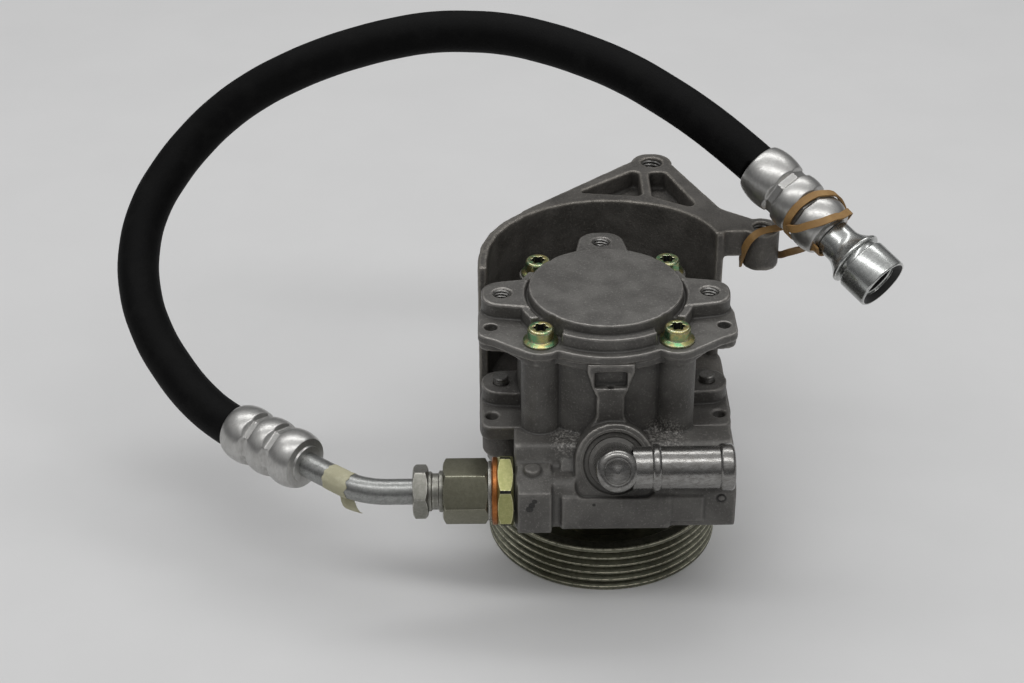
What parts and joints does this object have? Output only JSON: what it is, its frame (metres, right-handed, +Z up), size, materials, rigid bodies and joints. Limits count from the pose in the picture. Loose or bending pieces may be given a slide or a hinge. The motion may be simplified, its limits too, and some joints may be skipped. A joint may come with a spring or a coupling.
{
  "type": "power steering pump",
  "caption": "Belt-driven vane pump in a cast housing with a grooved pulley, rear cover, cast bracket, suction pipe and a crimped pressure hose.",
  "frame": {"origin": "on the shaft's axis at the pulley's lower rim, on which the pump stands", "axes": "+Z up along the shaft to the rear cover, +X towards the suction pipe's mouth, +Y towards the bracket"},
  "size_m": [0.3169, 0.1916, 0.1814],
  "materials": {
    "cast_body": "sand cast, matte",
    "cast_bracket": "sand cast, rough",
    "yellow_zinc": "yellow zinc plated",
    "olive_zinc": "dull olive zinc plated",
    "bright_zinc": "bright zinc plated",
    "tube_steel": "galvanised",
    "bare_steel": "bare, stained",
    "ferrule_aluminium": "satin, crimped",
    "copper": "plain copper",
    "black_rubber": "matte black",
    "tan_rubber": "matte tan",
    "paper": "matte paper",
    "ground_steel": "ground",
    "bronze": "plain bronze"
  },
  "bodies": {
    "pump": {"housing": "cast_body", "rear_cover": "cast_body", "bracket": "cast_bracket", "cover_bolts": "yellow_zinc", "outlet_union": "yellow_zinc", "outlet_adapter": "olive_zinc", "bracket_bolts": "olive_zinc", "tube_nut": "bright_zinc", "hose_coupling": "bright_zinc", "pressure_tube": "tube_steel", "suction_elbow": "bare_steel", "near_ferrule": "ferrule_aluminium", "far_ferrule": "ferrule_aluminium", "copper_washer": "copper", "pressure_hose": "black_rubber", "cover_seal": "black_rubber", "suction_seal": "black_rubber", "shaft_seal": "black_rubber", "rubber_band": "tan_rubber", "tube_tape": "paper", "plate_spring": "ground_steel", "pressure_plate": "ground_steel", "cam_ring": "ground_steel", "side_plate": "ground_steel", "dowel_pins": "ground_steel", "bearing_outer_ring": "ground_steel", "bearing_clip": "ground_steel", "valve_spring": "ground_steel", "rear_bush": "bronze"},
    "shaft": {"drive_shaft": "ground_steel", "rotor": "ground_steel", "rotor_clip": "ground_steel", "bearing_inner_ring": "ground_steel", "pulley_hub": "olive_zinc", "pulley": "olive_zinc", "pulley_bolts": "olive_zinc"},
    "cage": {"bearing_balls": "ground_steel", "bearing_cage": "bronze"},
    "flow_spool": {"valve_spool": "ground_steel"},
    "vane_1": {"vane_1": "ground_steel"},
    "vane_2": {"vane_2": "ground_steel"},
    "vane_3": {"vane_3": "ground_steel"},
    "vane_4": {"vane_4": "ground_steel"},
    "vane_5": {"vane_5": "ground_steel"},
    "vane_6": {"vane_6": "ground_steel"},
    "vane_7": {"vane_7": "ground_steel"},
    "vane_8": {"vane_8": "ground_steel"},
    "vane_9": {"vane_9": "ground_steel"},
    "vane_10": {"vane_10": "ground_steel"}
  },
  "joints": [
    {"name": "shaft_spin", "type": "hinge", "parent": "pump", "child": "shaft", "pos_m": [0, 0, 0], "axis": [0, 0, 1], "continuous": true},
    {"name": "cage_spin", "type": "hinge", "parent": "pump", "child": "cage", "pos_m": [0, 0, 0], "axis": [0, 0, 1], "continuous": true},
    {"name": "spool_slide", "type": "slide", "parent": "pump", "child": "flow_spool", "axis": [1, 0, 0], "range_m": [0, 0.008], "stiffness_N_per_m": 4000, "deforming": ["valve_spring"]},
    {"name": "vane_slide_1", "type": "slide", "parent": "shaft", "child": "vane_1", "axis": [-0.9511, -0.309, 0], "range_m": [0, 0.002]},
    {"name": "vane_slide_2", "type": "slide", "parent": "shaft", "child": "vane_2", "axis": [-0.5878, -0.809, 0], "range_m": [0, 0.002]},
    {"name": "vane_slide_3", "type": "slide", "parent": "shaft", "child": "vane_3", "axis": [0, -1, 0], "range_m": [0, 0.002]},
    {"name": "vane_slide_4", "type": "slide", "parent": "shaft", "child": "vane_4", "axis": [0.5878, -0.809, 0], "range_m": [0, 0.002]},
    {"name": "vane_slide_5", "type": "slide", "parent": "shaft", "child": "vane_5", "axis": [0.9511, -0.309, 0], "range_m": [0, 0.002]},
    {"name": "vane_slide_6", "type": "slide", "parent": "shaft", "child": "vane_6", "axis": [0.9511, 0.309, 0], "range_m": [0, 0.002]},
    {"name": "vane_slide_7", "type": "slide", "parent": "shaft", "child": "vane_7", "axis": [0.5878, 0.809, 0], "range_m": [0, 0.002]},
    {"name": "vane_slide_8", "type": "slide", "parent": "shaft", "child": "vane_8", "axis": [0, 1, 0], "range_m": [0, 0.002]},
    {"name": "vane_slide_9", "type": "slide", "parent": "shaft", "child": "vane_9", "axis": [-0.5878, 0.809, 0], "range_m": [0, 0.002]},
    {"name": "vane_slide_10", "type": "slide", "parent": "shaft", "child": "vane_10", "axis": [-0.9511, 0.309, 0], "range_m": [0, 0.002]}
  ],
  "couplings": [
    {"joint": "cage_spin", "follows": "shaft_spin", "ratio": 0.38}
  ]
}
